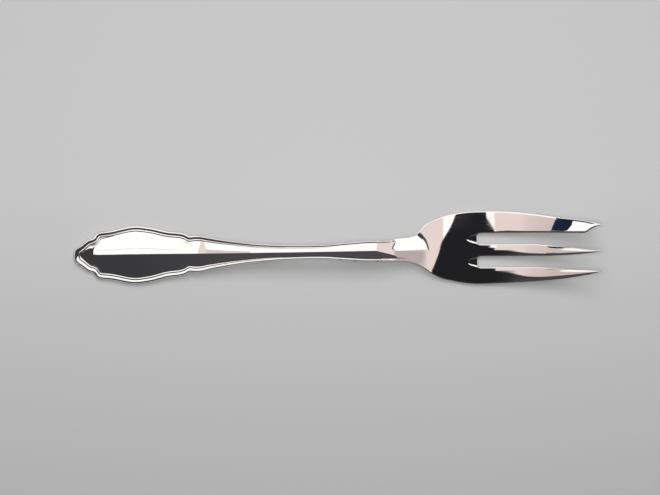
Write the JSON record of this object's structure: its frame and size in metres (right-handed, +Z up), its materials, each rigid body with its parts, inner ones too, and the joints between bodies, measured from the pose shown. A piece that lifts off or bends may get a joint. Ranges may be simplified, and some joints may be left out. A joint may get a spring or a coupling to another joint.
{
  "type": "pastry fork",
  "caption": "Pastry fork with a wide cutting tine, a slim arched stem and a broad thread-bordered handle, for cutting and lifting cake.",
  "frame": {"origin": "middle of the fork's box in plan, on the table that it lies on", "axes": "+X from the handle's tip to the tine tips, +Y towards the cutting tine, +Z up from the table, the hollow side"},
  "size_m": [0.15, 0.0208, 0.0118],
  "materials": {
    "silver_plate": "polished silver plate with fine use scratches"
  },
  "bodies": {
    "root": {"handle": "silver_plate", "stem": "silver_plate", "neck": "silver_plate", "head": "silver_plate", "cutting_tine": "silver_plate", "middle_tine": "silver_plate", "outer_tine": "silver_plate"}
  },
  "joints": []
}
